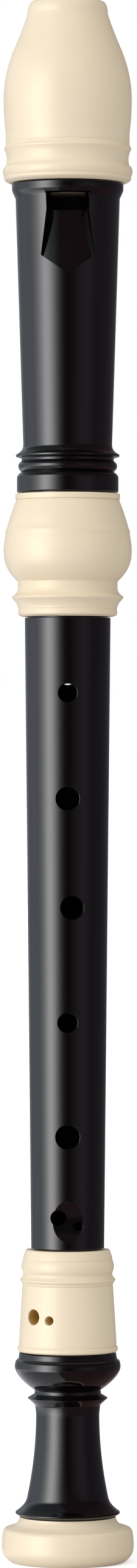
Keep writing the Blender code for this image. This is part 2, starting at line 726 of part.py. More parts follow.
def make_beak_cap(parent):
    seat_radius = cap_spigot_radius + SEAM
    seat_height = cap_seat + SEAM - cap_base
    inner = Outline(seat_radius)
    inner.line(seat_radius, seat_height)
    inner.line(block_bore(cap_seat + SEAM))
    inner.line(block_bore(tip_height), cap_outline.height - seat_height)
    cap = turned("beak_cap", cap_outline.points, inner.points, cap_base, parent, ivory)
    cut(cap, beak)
    cut(cap, windway)


def make_block(parent):
    """Plug below the windway, from the window to the tip."""
    base = window_top + SEAM
    length = tip_height - SEAM - base
    shape = bmesh.new()
    bmesh.ops.create_cone(
        shape, cap_ends=True, segments=SIDES,
        radius1=block_bore(base) - SEAM, radius2=block_bore(base + length) - SEAM, depth=length)
    bmesh.ops.translate(shape, vec=(0.0, 0.0, length / 2), verts=shape.verts)
    block = bpy.data.objects.new("block", mesh_of(shape, "block"))
    pieces.objects.link(block)
    finish_piece(block, base, parent, ivory)
    cut(block, beak)
    cut(block, windway)


clear_scene()
pieces = add_collection("alto_recorder")
cutters = add_collection("cutters", hidden=True)
black = add_material("black_plastic", BLACK_FINISH)
ivory = add_material("ivory_plastic", IVORY_FINISH)
seal_rubber = add_material("seal_rubber", SEAL_FINISH)
foot_joint = add_empty("foot_joint", 0.0, pieces)
middle_joint = add_empty("middle_joint", middle_base, pieces)
head_joint = add_empty("head_joint", bulb_base, pieces)
windway = windway_cutter()
beak = beak_cutter()

make_foot_ring(foot_joint)
make_foot_bell(foot_joint)
make_foot_socket(foot_joint)
make_seal("lower_tenon_seal", low_tenon_radius, middle_base - LOW_SEAL_DROP, middle_joint)
make_middle_body(middle_joint)
make_seal("upper_tenon_seal", top_tenon_radius, middle_top + TOP_SEAL_RISE, head_joint)
make_head_socket(head_joint)
make_head_body(head_joint)
make_block(head_joint)
make_beak_cap(head_joint)
bpy.context.view_layer.update()
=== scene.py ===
import math

import bmesh
import bpy
from mathutils import Matrix, Vector


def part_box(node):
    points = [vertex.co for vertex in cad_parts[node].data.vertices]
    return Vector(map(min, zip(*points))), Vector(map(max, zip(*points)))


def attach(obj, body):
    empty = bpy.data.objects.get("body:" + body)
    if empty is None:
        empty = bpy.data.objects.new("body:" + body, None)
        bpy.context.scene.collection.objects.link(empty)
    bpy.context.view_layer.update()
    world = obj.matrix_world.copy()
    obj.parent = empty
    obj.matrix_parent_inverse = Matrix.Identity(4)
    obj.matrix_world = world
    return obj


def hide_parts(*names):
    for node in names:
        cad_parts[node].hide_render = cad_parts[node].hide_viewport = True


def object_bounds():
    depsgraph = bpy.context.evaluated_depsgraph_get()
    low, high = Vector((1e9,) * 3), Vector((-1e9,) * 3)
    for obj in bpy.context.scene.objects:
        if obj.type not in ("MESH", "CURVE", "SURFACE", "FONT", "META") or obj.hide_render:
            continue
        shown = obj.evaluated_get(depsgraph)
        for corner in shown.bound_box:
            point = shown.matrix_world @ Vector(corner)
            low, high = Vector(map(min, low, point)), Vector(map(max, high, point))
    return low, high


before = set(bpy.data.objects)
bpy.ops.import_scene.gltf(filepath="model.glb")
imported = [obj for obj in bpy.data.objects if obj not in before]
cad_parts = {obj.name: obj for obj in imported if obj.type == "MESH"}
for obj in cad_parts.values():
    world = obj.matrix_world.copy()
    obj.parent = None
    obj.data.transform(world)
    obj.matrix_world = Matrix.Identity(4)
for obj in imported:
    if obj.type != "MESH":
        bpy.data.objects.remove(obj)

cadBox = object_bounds()
print("frame loaded:", len(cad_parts), "nodes")

mm = 0.001
turnSteps = 192          # faces round a turned piece
curveSteps = 22          # points on each curve of an outline
bevelSteps = 4           # faces across a rounded edge
holeSteps = 56           # faces round a tone hole
mouthSteps = 6           # faces down the rounded mouth of a hole
wallPitch = 1.0          # mm between the loops of a long wall
borePitch = 4.0          # mm between the loops of a bore
weldDistance = 0.002     # mm
seam = 0.3               # mm between two pieces that are fixed together
jointFit = 0.25          # mm between a tenon and its socket
sharpAngle = 32.0        # degrees, above which an edge is shaded sharp
roundMatch = 0.999       # how closely a face must follow a round surface to shade like it

# Edge roundings in mm, from fine grooves to the ends of tubes
crispEdge = 0.1
fineEdge = 0.15
softEdge = 0.2
mildEdge = 0.25
easedEdge = 0.3

bore = {
    "footEnd": 8.0, "footWaist": 6.2, "footTop": 6.9, "middleLow": 7.1, "middleTop": 9.3, "head": 9.7,
}


class Outline:
    # one side of a turned piece, upward: radius, height and edge rounding in mm

    def __init__(self, radius, height=0.0, rounding=0.0):
        self.points = [[radius, height, rounding]]

    @property
    def height(self):
        return self.points[-1][1]

    def line(self, radius, rise=0.0, rounding=0.0, pitch=0.0):
        startRadius, startHeight = self.points[-1][:2]
        length = math.hypot(radius - startRadius, rise)
        steps = max(1, round(length / pitch)) if pitch else 1
        for step in range(1, steps + 1):
            share = step / steps
            reach = startRadius + (radius - startRadius) * share
            self.points.append([reach, startHeight + rise * share, 0.0])
        self.points[-1][2] = rounding
        return self

    def curve(self, radius, rise, shape, rounding=0.0):
        startRadius, startHeight = self.points[-1][:2]
        for step in range(1, curveSteps + 1):
            share = step / curveSteps
            reach = startRadius + (radius - startRadius) * shape(share)
            self.points.append([reach, startHeight + rise * share, 0.0])
        self.points[-1][2] = rounding
        return self

    def settle(self, radius, rise, power=2.0, rounding=0.0):     # turns at once, ends upright
        return self.curve(radius, rise, lambda share: 1 - (1 - share) ** power, rounding)

    def spread(self, radius, rise, power=2.0, rounding=0.0):     # starts upright, turns at the end
        return self.curve(radius, rise, lambda share: share ** power, rounding)

    def crown(self, radius, rise):     # quarter of an ellipse from upright to level
        startRadius, startHeight = self.points[-1][:2]
        for step in range(1, curveSteps + 1):
            angle = step / curveSteps * math.pi / 2
            reach = radius + (startRadius - radius) * math.cos(angle)
            self.points.append([reach, startHeight + rise * math.sin(angle), 0.0])
        return self


def withRoomToRound(corners):
    # leaves out the points of a curve that crowd a rounded corner
    crowded = set()
    for index, corner in enumerate(corners):
        for way in (-1, 1):
            place = (index + way) % len(corners)
            while corner[2] > math.dist(corner[:2], corners[place][:2]) and not corners[place][2]:
                crowded.add(place)
                place = (place + way) % len(corners)
    return [corner for index, corner in enumerate(corners) if index not in crowded]


def spinRound(shape, steps):
    bmesh.ops.spin(
        shape, geom=shape.verts[:] + shape.edges[:], cent=(0, 0, 0), axis=(0, 0, 1),
        angle=math.tau, steps=steps, use_merge=True, use_duplicate=False)
    bmesh.ops.remove_doubles(shape, verts=shape.verts, dist=weldDistance * mm)


def turnedShape(outer, inner, base):
    # outer and inner side, both upward, become one closed ring of faces round the bore
    shape = bmesh.new()
    corners = withRoomToRound(outer.points + inner.points[::-1])
    verts = [shape.verts.new((corner[0] * mm, 0, (base + corner[1]) * mm)) for corner in corners]
    for first, second in zip(verts, verts[1:] + verts[:1]):
        shape.edges.new((first, second))
    for vert, corner in zip(verts, corners):
        if corner[2]:
            bmesh.ops.bevel(
                shape, geom=[vert], affect="VERTICES", offset=corner[2] * mm, offset_type="OFFSET",
                segments=bevelSteps, profile=0.5, material=-1, clamp_overlap=True)
    spinRound(shape, turnSteps)
    bmesh.ops.recalc_face_normals(shape, faces=shape.faces)
    return shape


def linked(name, data):
    made = bpy.data.objects.new(name, data)
    bpy.context.scene.collection.objects.link(made)
    return made


def asObject(shape, name):
    mesh = bpy.data.meshes.new(name)
    shape.to_mesh(mesh)
    shape.free()
    return linked(name, mesh)


def addPiece(shape, name, node, body, finish):
    piece = asObject(shape, name)
    piece.data.materials.append(finish)
    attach(piece, body)
    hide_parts(node)
    return piece


def polish(piece, rounds=()):
    # Smooth shading, with the edges that a cutter left kept crisp. The long faces round a cut
    # shade unevenly, so each of the rounds gives the exact normals of its round surface, and
    # nothing elsewhere.
    mesh = piece.data
    mesh.shade_smooth()
    mesh.set_sharp_from_angle(angle=math.radians(sharpAngle))
    shape = bmesh.new()
    shape.from_mesh(mesh)
    for edge in shape.edges:
        if len({face.material_index for face in edge.link_faces}) > 1:
            edge.smooth = False
    for face in shape.faces:
        face.material_index = 0
    shape.to_mesh(mesh)
    shape.free()
    if rounds:
        normals = [corner.vector.copy() for corner in mesh.corner_normals]
        for face in mesh.polygons:
            for exact in rounds:
                if face.normal.dot(exact(face.center)) > roundMatch:
                    for corner in face.loop_indices:
                        normals[corner] = exact(mesh.vertices[mesh.loops[corner].vertex_index].co)
        mesh.normals_split_custom_set(normals)
    print(piece.name, "has", len(mesh.polygons), "faces")


def coneNormals(low, high, lean):
    # outward normals of a straight tube wall between two heights in mm

    def exact(place):
        if not low * mm < place.z < high * mm:
            return Vector()
        return Vector((place.x, place.y, -lean * math.hypot(place.x, place.y))).normalized()

    return exact


def carve(piece, shapes):
    # cuts the shapes out of a piece; their faces are marked by material index 1
    tools = []
    for index, shape in enumerate(shapes):
        bmesh.ops.recalc_face_normals(shape, faces=shape.faces)
        for face in shape.faces:
            face.material_index = 1
        tool = asObject(shape, f"cutter{index}")
        cut = piece.modifiers.new(tool.name, "BOOLEAN")
        cut.operation = "DIFFERENCE"
        cut.solver = "EXACT"
        cut.object = tool
        tools.append(tool)
    finish = piece.data.materials[0]
    graph = bpy.context.evaluated_depsgraph_get()
    piece.data = bpy.data.meshes.new_from_object(piece.evaluated_get(graph))
    piece.modifiers.clear()
    piece.data.materials.clear()
    piece.data.materials.append(finish)
    for tool in tools:
        bpy.data.objects.remove(tool)


def turned(shape, degrees, axis):
    turning = Matrix.Rotation(math.radians(degrees), 3, axis)
    bmesh.ops.rotate(shape, verts=shape.verts, cent=(0, 0, 0), matrix=turning)
    return shape


def wrapOnTube(shape, wallRadius, height, turn):
    # a flat cutter, x across, y up the bore and z out of the wall, bends round the tube
    for vert in shape.verts:
        across, along, out = (number / mm for number in vert.co)
        wall = wallRadius(height + along)
        depth = math.sqrt(wall ** 2 - across ** 2) + out
        vert.co = Vector((across, -depth, height + along)) * mm
    return turned(shape, turn, "Z")


def holeCutter(hole, wallRadius, height, across=0.0, along=0.0):
    # straight bore with a rounded mouth, turned flat and then wrapped on the wall
    radius = hole["diameter"] / 2
    rounding = hole["mouthRounding"]
    lastAngle = math.radians(hole["mouthAngle"])
    points = [(0.0, -hole["reach"]), (radius, -hole["reach"])]
    for step in range(mouthSteps + 1):
        angle = lastAngle * step / mouthSteps
        out = rounding * (math.sin(angle) - math.sin(lastAngle))
        points.append((radius + rounding * (1 - math.cos(angle)), out))
    edgeRadius = points[-1][0]
    points.append((edgeRadius + hole["clearance"] * math.tan(lastAngle), hole["clearance"]))
    points.append((0.0, hole["clearance"]))
    shape = bmesh.new()
    verts = [shape.verts.new((reach * mm, 0, out * mm)) for reach, out in points]
    for first, second in zip(verts, verts[1:]):
        shape.edges.new((first, second))
    spinRound(shape, holeSteps)
    bmesh.ops.translate(shape, verts=shape.verts, vec=(across * mm, along * mm, 0))
    return wrapOnTube(shape, wallRadius, height, hole["turn"])


class Wire:
    # a socket that adds up like a number: each operator adds its Math node

    def __init__(self, nodes, socket):
        self.nodes = nodes
        self.socket = socket

    def maths(self, operation, first, second):
        return self.nodes.add("ShaderNodeMath", {"operation": operation}, {0: first, 1: second})

    def __add__(self, other):
        return self.maths("ADD", self, other)

    def __radd__(self, other):
        return self.maths("ADD", other, self)

    def __sub__(self, other):
        return self.maths("SUBTRACT", self, other)

    def __rsub__(self, other):
        return self.maths("SUBTRACT", other, self)

    def __mul__(self, other):
        return self.maths("MULTIPLY", self, other)

    def __rmul__(self, other):
        return self.maths("MULTIPLY", other, self)

    def __truediv__(self, other):
        return self.maths("DIVIDE", self, other)

    def __rtruediv__(self, other):
        return self.maths("DIVIDE", other, self)


class Nodes:
    # the node tree of a material or the world, and the one way to add a node to it

    def __init__(self, owner):
        owner.use_nodes = True
        self.tree = owner.node_tree

    def plug(self, socket, value):
        if isinstance(value, Wire):
            self.tree.links.new(value.socket, socket)
        else:
            socket.default_value = value

    def add(self, kind, settings={}, sockets={}, output=0):
        made = self.tree.nodes.new(kind)
        for name, value in settings.items():
            setattr(made, name, value)
        for name, value in sockets.items():
            self.plug(made.inputs[name], value)
        return Wire(self, made.outputs[output])

    def noise(self, place, scale, detail=3.0, roughness=0.5):
        return self.add(
            "ShaderNodeTexNoise", {"noise_dimensions": "3D"},
            {"Vector": place, "Scale": scale, "Detail": detail, "Roughness": roughness})

    def between(self, value, low, high):     # 0 below low, 1 above high, smooth between
        return self.add(
            "ShaderNodeMapRange", {"interpolation_type": "SMOOTHSTEP"},
            {"Value": value, "From Min": low, "From Max": high, "To Min": 0.0, "To Max": 1.0})

    def mixed(self, share, first, second):     # colours
        return self.add(
            "ShaderNodeMix", {"data_type": "RGBA", "blend_type": "MIX"}, {0: share, 6: first, 7: second}, 2)

    def function(self, operation, value):     # of one number
        return self.add("ShaderNodeMath", {"operation": operation}, {0: value})

    def objectPlace(self):
        return self.add("ShaderNodeTexCoord", output=3)

    def part(self, place, index):     # 0, 1 or 2 for x, y or z
        return self.add("ShaderNodeSeparateXYZ", {}, {0: place}, index)

    def fromAxis(self, place):
        level = self.add("ShaderNodeVectorMath", {"operation": "MULTIPLY"}, {0: place, 1: (1, 1, 0)})
        return self.add("ShaderNodeVectorMath", {"operation": "LENGTH"}, {0: level}, 1)

    def bump(self, height):     # metres
        return self.add("ShaderNodeBump", {}, {"Height": height, "Strength": 1.0, "Distance": 1.0})


def surface(name):
    material = bpy.data.materials.new(name)
    nodes = Nodes(material)
    return material, nodes, nodes.tree.nodes["Principled BSDF"]


# Each noise is its scale, detail and roughness; heights and radii are in mm
blackPlastic = {
    "colour": (0.0018, 0.0012, 0.0014, 1), "paleColour": (0.0026, 0.0019, 0.0021, 1), "cloud": (45.0, 4.0),
    "smudges": (90.0, 6.0, 0.62), "smudgeSpan": (0.5, 0.72), "ripple": (260.0, 1.0), "rippleHeight": 0.004,
    "ior": 1.5, "roughness": 0.035, "smudgeRoughness": 0.06, "boreRoughness": 0.45,
    "footTop": 64.0, "boreMargin": 0.05, "boreFade": 0.15,
}


def makeBlackPlastic():
    look = blackPlastic
    material, nodes, shader = surface("blackPlasticFinish")
    place = nodes.objectPlace()
    cloud = nodes.noise(place, *look["cloud"])
    smudges = nodes.between(nodes.noise(place, *look["smudges"]), *look["smudgeSpan"])
    ripple = nodes.noise(place, *look["ripple"])
    aboveFoot = nodes.between(nodes.part(place, 2), look["footTop"] * mm, (look["footTop"] + 1) * mm)
    wall = (bore["footEnd"] + look["boreMargin"]) * mm + aboveFoot * (bore["head"] - bore["footEnd"]) * mm
    inside = 1.0 - nodes.between(nodes.fromAxis(place) - wall, 0.0, look["boreFade"] * mm)
    wear = look["roughness"] + smudges * look["smudgeRoughness"]
    nodes.plug(shader.inputs["IOR"], look["ior"])
    nodes.plug(shader.inputs["Base Color"], nodes.mixed(cloud, look["colour"], look["paleColour"]))
    nodes.plug(shader.inputs["Roughness"], wear + inside * look["boreRoughness"])
    nodes.plug(shader.inputs["Normal"], nodes.bump(ripple * look["rippleHeight"] * mm))
    return material


ivoryPlastic = {
    "colour": (0.80, 0.672, 0.478, 1), "warmColour": (0.77, 0.635, 0.435, 1), "warmShare": 0.5,
    "cloud": (55.0, 5.0, 0.55), "cloudSpan": (0.35, 0.75), "smudges": (120.0, 6.0, 0.6),
    "smudgeSpan": (0.5, 0.72), "ripple": (420.0, 2.0), "rippleHeight": 0.006,
    "ior": 1.48, "roughness": 0.34, "smudgeRoughness": 0.06,
    # the hole colour is painted shade: a darker, saturated brown for the insides of the foot socket's tone
    # holes, standing in for their shade and the warm light bounced inside them
    "holeShadeColour": (0.66, 0.42, 0.13, 1), "holeSpan": (66.0, 80.0), "holeRadius": (13.3, 13.8),
}


def makeIvoryPlastic():
    look = ivoryPlastic
    material, nodes, shader = surface("ivoryPlasticFinish")
    place = nodes.objectPlace()
    cloud = nodes.between(nodes.noise(place, *look["cloud"]), *look["cloudSpan"])
    smudges = nodes.between(nodes.noise(place, *look["smudges"]), *look["smudgeSpan"])
    ripple = nodes.noise(place, *look["ripple"])
    rise = nodes.part(place, 2)
    # painted shade: the insides of the foot socket's tone holes, picked out by height and distance from the
    # axis, are coloured darker brown in place of the shade and bounced light in them
    low, high = (height * mm for height in look["holeSpan"])
    near, far = (radius * mm for radius in look["holeRadius"])
    paintedHoleShade = nodes.between(rise, low, low + mm) * (1.0 - nodes.between(rise, high - mm, high))
    paintedHoleShade = paintedHoleShade * (1.0 - nodes.between(nodes.fromAxis(place), near, far))
    plain = nodes.mixed(cloud * look["warmShare"], look["colour"], look["warmColour"])
    nodes.plug(shader.inputs["IOR"], look["ior"])
    nodes.plug(shader.inputs["Base Color"], nodes.mixed(paintedHoleShade, plain, look["holeShadeColour"]))
    nodes.plug(shader.inputs["Roughness"], look["roughness"] + smudges * look["smudgeRoughness"])
    nodes.plug(shader.inputs["Normal"], nodes.bump(ripple * look["rippleHeight"] * mm))
    return material


sealRubber = {
    "colour": (0.055, 0.047, 0.040, 1), "greasyColour": (0.105, 0.092, 0.075, 1),
    "grain": (1400.0, 4.0, 0.6), "grainHeight": 0.05, "grease": (160.0, 3.0), "greaseSpan": (0.45, 0.65),
    "roughness": 0.72, "greaseShine": 0.35,
}


def makeSealRubber():
    look = sealRubber
    material, nodes, shader = surface("sealRubberFinish")
    place = nodes.objectPlace()
    grain = nodes.noise(place, *look["grain"])
    grease = nodes.between(nodes.noise(place, *look["grease"]), *look["greaseSpan"])
    nodes.plug(shader.inputs["Base Color"], nodes.mixed(grease, look["colour"], look["greasyColour"]))
    nodes.plug(shader.inputs["Roughness"], look["roughness"] - grease * look["greaseShine"])
    nodes.plug(shader.inputs["Normal"], nodes.bump(grain * look["grainHeight"] * mm))
    return material


black = makeBlackPlastic()
ivory = makeIvoryPlastic()
rubber = makeSealRubber()
print("finishes made")


def lowest(node):
    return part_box(node)[0].z / mm


def highest(node):
    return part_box(node)[1].z / mm


tenon = {
    "lowRadius": 9.2, "lowLength": 15.1, "topRadius": 11.2, "topLength": 24.1, "endRounding": 0.4,
    "ringSpigot": 11.5, "ringSpigotLength": 7.2, "socketSpigot": 11.0, "socketSpigotLength": 5.6,
    "bulbSpigot": 13.0, "capSpigot": 13.5, "endGap": 0.4,
}

# In the dictionaries of turned pieces a Rise is a height gained, and a Power shapes a curve
footRing = {
    "footRadius": 17.0, "radius": 19.9, "swellRise": 5.5, "swellPower": 3.0, "edgeRadius": 19.3,
    "edgeRise": 4.6, "edgeRounding": 0.8, "ledgeRadius": 15.9, "ledgeRise": 1.1, "neckRadius": 14.5,
    "neckRise": 2.4, "mouthRounding": 0.5,
}


def makeFootRing():
    size = footRing
    outer = Outline(size["footRadius"], 0.0, easedEdge)
    outer.settle(size["radius"], size["swellRise"], size["swellPower"])
    outer.spread(size["edgeRadius"], size["edgeRise"], rounding=size["edgeRounding"])
    outer.line(size["ledgeRadius"], size["ledgeRise"])
    outer.settle(size["neckRadius"], size["neckRise"])
    seat = tenon["ringSpigot"] + seam
    inner = Outline(bore["footEnd"], 0.0, size["mouthRounding"])
    inner.line(bore["footEnd"], outer.height - tenon["ringSpigotLength"])
    inner.line(seat)
    inner.line(seat, tenon["ringSpigotLength"])
    polish(addPiece(
        turnedShape(outer, inner, 0.0), "turned_foot_ring", "foot_ring", "foot", ivory))


footBell = {
    "rimRadius": 15.75, "rimRise": 0.7, "rimBand": 0.5, "throatRadius": 12.25, "throatRise": 4.3,
    "throatLean": 0.28, "throatPower": 2.2, "waistRadius": 9.54, "waistRise": 25.2,
    "rootRadius": 9.85, "rootRise": 2.7, "beadRadius": 12.1, "beadRise": 2.1, "beadDrop": 1.3,
    "neckRadius": 10.0, "neckRise": 1.1, "cupRadius": 15.95, "cupRise": 7.0, "cupPower": 1.7,
    "browRadius": 15.6, "browRise": 1.9, "browRounding": 0.35,
    "stepRadius": 14.85, "stepRise": 0.5, "lipRadius": 14.6, "lipRise": 1.8,
}


def makeFootBell():
    size = footBell
    base = highest("foot_ring") + seam
    outer = Outline(tenon["ringSpigot"], -tenon["ringSpigotLength"], easedEdge)
    outer.line(tenon["ringSpigot"], tenon["ringSpigotLength"])
    outer.line(footRing["neckRadius"])
    outer.line(size["rimRadius"], size["rimRise"], mildEdge)
    outer.line(size["rimRadius"], size["rimBand"], mildEdge)
    lean = size["throatLean"]     # the throat runs on into the waist without a kink
    outer.curve(
        size["throatRadius"], size["throatRise"],
        lambda share: 1 - (1 - lean) * (1 - share) ** size["throatPower"] - lean * (1 - share))
    outer.settle(size["waistRadius"], size["waistRise"])
    outer.line(size["rootRadius"], size["rootRise"], easedEdge)
    beadHeight = outer.height + size["beadRise"]
    outer.line(size["beadRadius"], size["beadRise"], fineEdge)
    outer.line(size["neckRadius"], size["beadDrop"], softEdge)
    outer.line(size["neckRadius"], size["neckRise"], softEdge)
    outer.settle(size["cupRadius"], size["cupRise"], size["cupPower"])
    outer.spread(size["browRadius"], size["browRise"], rounding=size["browRounding"])
    outer.line(size["stepRadius"], size["stepRise"], mildEdge)
    outer.line(size["lipRadius"], size["lipRise"], fineEdge)
    outer.line(tenon["socketSpigot"])
    outer.line(tenon["socketSpigot"], tenon["socketSpigotLength"], easedEdge)
    inner = Outline(bore["footEnd"], -tenon["ringSpigotLength"], softEdge)
    inner.line(bore["footWaist"], beadHeight + tenon["ringSpigotLength"], pitch=borePitch)
    inner.line(bore["footTop"], outer.height - beadHeight, softEdge, borePitch)
    polish(addPiece(
        turnedShape(outer, inner, base), "turned_foot_bell", "foot_bell", "foot", black))


footSocket = {
    "footRadius": 14.5, "lipRadius": 15.1, "lipEdge": 0.4, "lipRise": 1.1, "grooveDepth": 0.12,
    "lipGrooveRise": 0.3, "baseRadius": 14.75, "baseRise": 0.35, "taperRadius": 13.65, "taperRise": 17.9,
    "taperGrooveRise": 0.2, "stepRadius": 13.85, "stepEdge": 0.25, "stepRise": 0.5,
    "beadRadius": 14.4, "beadEdge": 0.5, "beadRise": 0.4, "valleyRadius": 13.45, "valleyEdge": 1.5,
    "valleyRise": 0.4, "crownRadius": 13.95, "crownRise": 1.9, "bandRadius": 13.5, "bandRise": 2.0,
    "bandGrooveEdge": 0.15, "bandGrooveRise": 0.1, "collarEdge": 0.25, "collarRadius": 13.1,
    "collarRise": 1.3, "collarRounding": 0.6, "topRadius": 12.6, "pairTurn": -36.0, "pairStagger": 0.8,
}
pairHoles = {
    "large": {"diameter": 4.7, "mouthRounding": 0.25, "mouthAngle": 72.0, "clearance": 1.2, "reach": 10.0},
    "small": {"diameter": 2.7, "mouthRounding": 0.2, "mouthAngle": 72.0, "clearance": 1.2, "reach": 10.0},
    "largeOffset": -2.7, "smallOffset": 3.1,
}


def pairCutters(wallRadius, height, turn, stagger):
    return [
        holeCutter({**pairHoles[name], "turn": turn}, wallRadius, height, pairHoles[name + "Offset"], along)
        for name, along in (("large", stagger / 2), ("small", -stagger / 2))]


def makeFootSocket():
    size = footSocket
    base = lowest("foot_socket")
    groove = size["grooveDepth"]
    outer = Outline(size["footRadius"], 0.0, fineEdge)
    outer.line(size["lipRadius"], size["lipEdge"], softEdge)
    outer.line(size["lipRadius"], size["lipRise"], softEdge)
    outer.line(size["baseRadius"] - groove, size["lipGrooveRise"], crispEdge)
    outer.line(size["baseRadius"], size["baseRise"], fineEdge)
    taperBase = outer.height
    outer.line(size["taperRadius"], size["taperRise"], fineEdge, wallPitch)
    outer.line(size["taperRadius"] - groove, size["taperGrooveRise"], crispEdge)
    outer.line(size["stepRadius"], size["stepEdge"], softEdge)
    outer.line(size["stepRadius"], size["stepRise"], softEdge)
    outer.line(size["beadRadius"], size["beadEdge"], softEdge)
    outer.line(size["beadRadius"], size["beadRise"], mildEdge)
    outer.settle(size["valleyRadius"], size["valleyEdge"])
    outer.line(size["valleyRadius"], size["valleyRise"])
    outer.settle(size["crownRadius"], size["crownRise"])
    outer.spread(size["bandRadius"], size["bandRise"], rounding=softEdge)
    outer.line(size["bandRadius"] - groove, size["bandGrooveEdge"], crispEdge)
    outer.line(size["bandRadius"] - groove, size["bandGrooveRise"], crispEdge)
    outer.line(size["bandRadius"], size["collarEdge"], easedEdge)
    outer.line(size["collarRadius"], size["collarRise"], size["collarRounding"])
    outer.line(size["topRadius"], highest("foot_socket") - base - outer.height, softEdge)
    ledge = lowest("middle_body") - base - tenon["endGap"]
    seat = highest("foot_bell") + seam - base
    inner = Outline(tenon["socketSpigot"] + seam)
    inner.line(tenon["socketSpigot"] + seam, seat)
    inner.line(bore["footTop"])
    inner.line(bore["footTop"], ledge - seat)
    inner.line(tenon["lowRadius"] + jointFit)
    inner.line(tenon["lowRadius"] + jointFit, outer.height - ledge, easedEdge)
    piece = addPiece(
        turnedShape(outer, inner, base), "turned_foot_socket", "foot_socket", "foot", ivory)

    def wallRadius(height):
        share = (height - base - taperBase) / size["taperRise"]
        return size["baseRadius"] + (size["taperRadius"] - size["baseRadius"]) * share

    pairHeight = (highest("foot_bell") + lowest("middle_body")) / 2
    carve(piece, pairCutters(wallRadius, pairHeight, size["pairTurn"], size["pairStagger"]))
    lean = (size["taperRadius"] - size["baseRadius"]) / size["taperRise"]
    polish(piece, [coneNormals(base + taperBase, base + taperBase + size["taperRise"], lean)])


seal = {
    "width": 2.4, "depth": 0.9, "proud": 0.1, "fit": 0.2, "lowDrop": 6.0, "topRise": 8.0,
    "crownDrop": 0.5, "crownPower": 4, "grooveRounding": 0.12,
}


def makeSeal(name, node, body):
    low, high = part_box(node)
    radius = high.x / mm
    base = low.z / mm
    height = high.z / mm - base
    outer = Outline(radius - seal["proud"], 0.0, softEdge)
    outer.curve(radius - seal["proud"], height, lambda share: 0.0)
    for point in outer.points:     # a rounded crown that presses on the socket
        point[0] = radius - seal["crownDrop"] * (2 * point[1] / height - 1) ** seal["crownPower"]
    innerRadius = radius - seal["proud"] - seal["depth"] + seal["fit"]
    inner = Outline(innerRadius).line(innerRadius, height)
    polish(addPiece(turnedShape(outer, inner, base), name, node, body, rubber))


middle = {
    "lowRadius": 11.0, "topRadius": 12.92, "pairHeight": 8.5, "pairStagger": 2.4,
    "scoopDepth": 0.95, "scoopHeight": 12.2, "scoopSteps": 320, "scoopMatch": 0.02,
}
# Upward from the double hole, the last at the back for the thumb; each gap is from the hole before
toneHoles = [
    {"gap": 25.5, "diameter": 7.2, "turn": 0.0},
    {"gap": 34.3, "diameter": 5.9, "turn": 0.0},
    {"gap": 34.5, "diameter": 7.0, "turn": 6.7},
    {"gap": 32.7, "diameter": 7.0, "turn": 0.0},
    {"gap": 31.7, "diameter": 5.6, "turn": 0.0},
    {"gap": 5.95, "diameter": 6.5, "turn": 180.0},
]
holeForm = {"mouthRounding": 0.25, "mouthAngle": 75.0, "clearance": 1.2, "reach": 9.0}


def tenonGroove(outline, radius, centre):
    halfWidth = seal["width"] / 2 + seal["fit"]
    outline.line(radius, centre - halfWidth - outline.height, seal["grooveRounding"])
    outline.line(radius - seal["depth"])
    outline.line(radius - seal["depth"], 2 * halfWidth)
    outline.line(radius, 0.0, seal["grooveRounding"])


def scoopRadius():
    return ((middle["scoopHeight"] / 2) ** 2 + middle["scoopDepth"] ** 2) / 2 / middle["scoopDepth"]


def scoopCutter(wall, height):
    # wide roller, lying across the tube, that leaves the shallow hollow of the lowest holes
    radius = scoopRadius()
    shape = bmesh.new()
    bmesh.ops.create_cone(
        shape, cap_ends=True, segments=middle["scoopSteps"], radius1=radius * mm, radius2=radius * mm,
        depth=3 * wall * mm)
    turned(shape, 90, "Y")
    centre = (0, (middle["scoopDepth"] - wall - radius) * mm, height * mm)
    bmesh.ops.translate(shape, verts=shape.verts, vec=centre)
    return shape


def scoopNormals(wall, height):
    centre = Vector((0, middle["scoopDepth"] - wall - scoopRadius(), height)) * mm

    def exact(place):
        inward = Vector((0, centre.y - place.y, centre.z - place.z))
        if abs(inward.length - scoopRadius() * mm) > middle["scoopMatch"] * mm:
            return Vector()
        return inward.normalized()

    return exact


def makeMiddleBody():
    size = middle
    base = lowest("middle_body") + tenon["lowLength"]
    top = highest("middle_body") - tenon["topLength"]
    length = top - base
    outer = Outline(tenon["lowRadius"], -tenon["lowLength"], tenon["endRounding"])
    tenonGroove(outer, tenon["lowRadius"], -seal["lowDrop"])
    outer.line(tenon["lowRadius"], -outer.height)
    outer.line(size["lowRadius"], 0.0, easedEdge)
    outer.line(size["topRadius"], length, easedEdge, wallPitch)
    outer.line(tenon["topRadius"])
    tenonGroove(outer, tenon["topRadius"], length + seal["topRise"])
    outer.line(tenon["topRadius"], length + tenon["topLength"] - outer.height, tenon["endRounding"])
    inner = Outline(bore["middleLow"], -tenon["lowLength"], softEdge)
    inner.line(bore["middleTop"], length + tenon["lowLength"] + tenon["topLength"], softEdge, borePitch)
    piece = addPiece(
        turnedShape(outer, inner, base), "turned_middle_body", "middle_body", "middle", black)

    def wallRadius(height):
        return size["lowRadius"] + (size["topRadius"] - size["lowRadius"]) * (height - base) / length

    pairHeight = base + size["pairHeight"]
    pairWall = wallRadius(pairHeight)
    carve(piece, [scoopCutter(pairWall, pairHeight)])
    cutters = pairCutters(wallRadius, pairHeight, 0.0, size["pairStagger"])
    height = pairHeight
    for hole in toneHoles:
        height += hole["gap"]
        cutters.append(holeCutter({**holeForm, **hole}, wallRadius, height))
    carve(piece, cutters)
    lean = (size["topRadius"] - size["lowRadius"]) / length
    polish(piece, [coneNormals(base, top, lean), scoopNormals(pairWall, pairHeight)])


